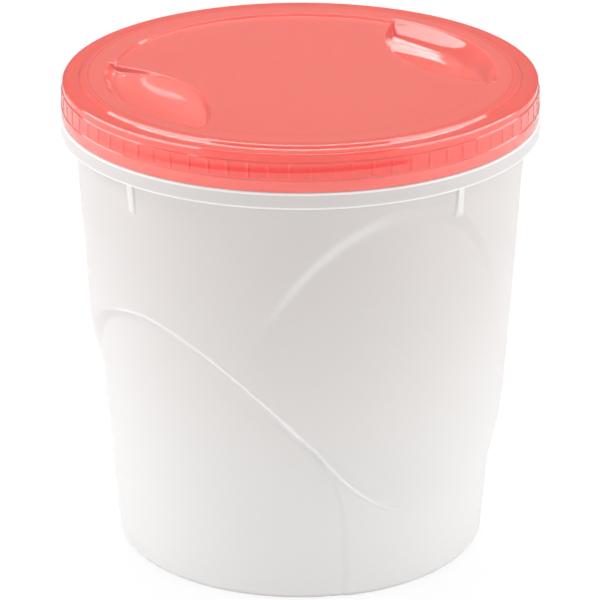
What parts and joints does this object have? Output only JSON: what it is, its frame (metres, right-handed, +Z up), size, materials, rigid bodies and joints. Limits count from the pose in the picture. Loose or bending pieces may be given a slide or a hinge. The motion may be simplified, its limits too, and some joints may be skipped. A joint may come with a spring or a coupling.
{
  "type": "food storage container",
  "caption": "Tapered round plastic keeper with a swept relief in its wall, a collar below the mouth and a translucent screw lid with finger scoops.",
  "frame": {"origin": "centre of the foot, on the table", "axes": "+Z up through the lid, -Y towards the front that the picture shows"},
  "size_m": [0.16, 0.16, 0.165],
  "materials": {
    "natural_polypropylene": "translucent natural, satin",
    "natural_silicone": "clear silicone",
    "coral_polypropylene": "translucent coral, satin gloss"
  },
  "bodies": {
    "container": {"container": "natural_polypropylene"},
    "seal": {"lid_seal": "natural_silicone"},
    "lid": {"screw_lid": "coral_polypropylene"}
  },
  "joints": [
    {"name": "lid_lift", "type": "slide", "parent": "container", "child": "seal", "axis": [0, 0, 1], "range_m": [0, 0.016]},
    {"name": "lid_unscrew", "type": "hinge", "parent": "seal", "child": "lid", "pos_m": [0, 0, 0.1627], "axis": [0, 0, 1], "range_deg": [0, 720]}
  ],
  "couplings": [
    {"joint": "lid_lift", "follows": "lid_unscrew", "m_per_rad": 0.0012732}
  ]
}
